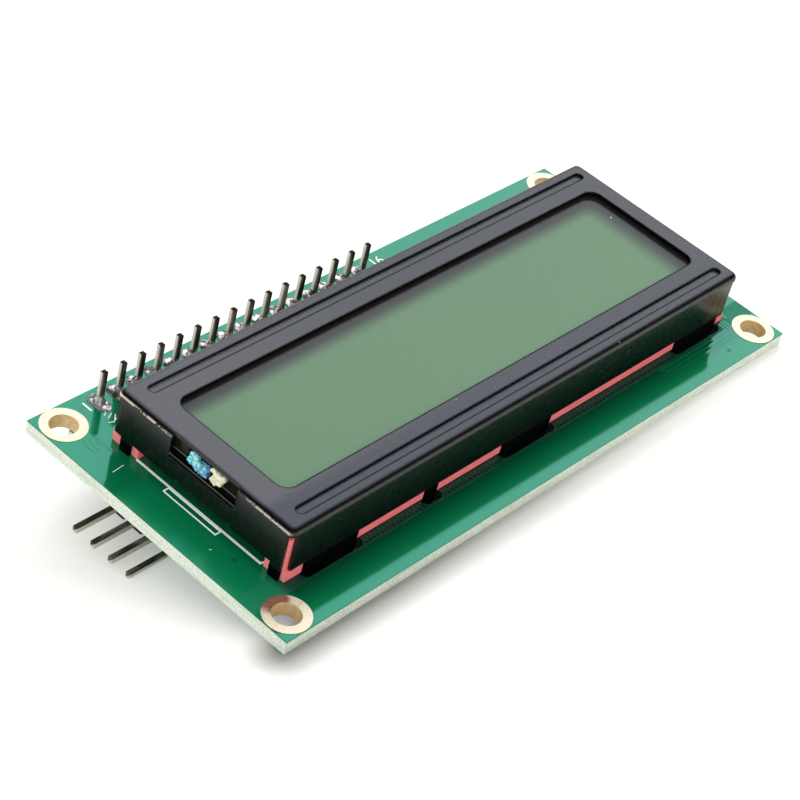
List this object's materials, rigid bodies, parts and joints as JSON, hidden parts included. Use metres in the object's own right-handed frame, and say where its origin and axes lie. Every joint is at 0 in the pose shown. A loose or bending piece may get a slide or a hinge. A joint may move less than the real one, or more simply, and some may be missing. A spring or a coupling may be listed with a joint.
{
  "type": "character lcd module",
  "caption": "Character display in a folded steel bezel on a fibreglass board, with a serial adapter board soldered beneath it on a row of header pins.",
  "frame": {"origin": "centre of the four mounting holes, on the top face of the display board", "axes": "+X along the display away from pin 1, +Y towards the row of header pins, +Z out of the glass towards the viewer"},
  "size_m": [0.081, 0.036, 0.0172],
  "materials": {
    "board_green": "gloss solder mask on fibreglass",
    "gold_plate": "tinned copper, satin",
    "black_steel": "satin black coating",
    "clear_film": "polished film",
    "cell_glass": "polished",
    "seal": "cured resin",
    "port_blue": "cured resin, glossy",
    "bead_cream": "cured resin, glossy",
    "pink_rubber": "silicone with fine conducting layers",
    "white_plastic": "moulded",
    "light_plastic": "clear acrylic",
    "lamp": "lens over a phosphor",
    "tinned": "tinned",
    "solder": "bright solder",
    "black_resin": "domed resin",
    "black_plastic": "moulded",
    "chip_ceramic": "ceramic chip",
    "chip_black": "moulded epoxy",
    "trimmer_blue": "moulded",
    "trimmer_white": "moulded",
    "indicator": "clear red lens"
  },
  "bodies": {
    "module": {"main_board": "board_green", "mounting_hole_plating": "gold_plate", "bezel": "black_steel", "front_polariser": "clear_film", "front_glass": "cell_glass", "perimeter_seal": "seal", "rear_glass": "cell_glass", "rear_polariser": "clear_film", "fill_port_plug": "port_blue", "seal_bead": "bead_cream", "front_contact_strip": "pink_rubber", "back_contact_strip": "pink_rubber", "diffuser_film": "white_plastic", "light_guide": "light_plastic", "backlight_tray": "white_plastic", "backlight_board": "board_green", "backlight_lamps": "lamp", "backlight_leads": "tinned", "backlight_solder": "solder", "driver_blob_left": "black_resin", "driver_blob_right": "black_resin", "display_resistors": "chip_black", "display_capacitors": "chip_ceramic", "header_pins": "tinned", "header_spacer": "black_plastic", "display_solder": "solder", "adapter_board": "board_green", "adapter_solder": "solder", "side_header_housing": "black_plastic", "side_header_pins": "tinned", "side_header_solder": "solder", "expander_chip": "chip_black", "expander_leads": "tinned", "trimmer_body": "trimmer_blue", "trimmer_pins": "tinned", "trimmer_solder": "solder", "jumper_housing": "black_plastic", "jumper_pins": "tinned", "jumper_solder": "solder", "power_indicator": "indicator", "adapter_resistors": "chip_black", "adapter_capacitors": "chip_ceramic", "transistor": "chip_black", "address_links": "gold_plate"},
    "rotor": {"trimmer_rotor": "trimmer_white"},
    "cap": {"jumper_cap": "black_plastic", "jumper_clip": "tinned"}
  },
  "joints": [
    {"name": "trimmer_turn", "type": "hinge", "parent": "module", "child": "rotor", "pos_m": [-0.006, 0.0097, -0.00954], "axis": [0, 0, 1], "range_deg": [-130, 130]},
    {"name": "jumper_pull", "type": "slide", "parent": "module", "child": "cap", "axis": [1, 0, 0], "range_m": [0, 0.0065]}
  ]
}
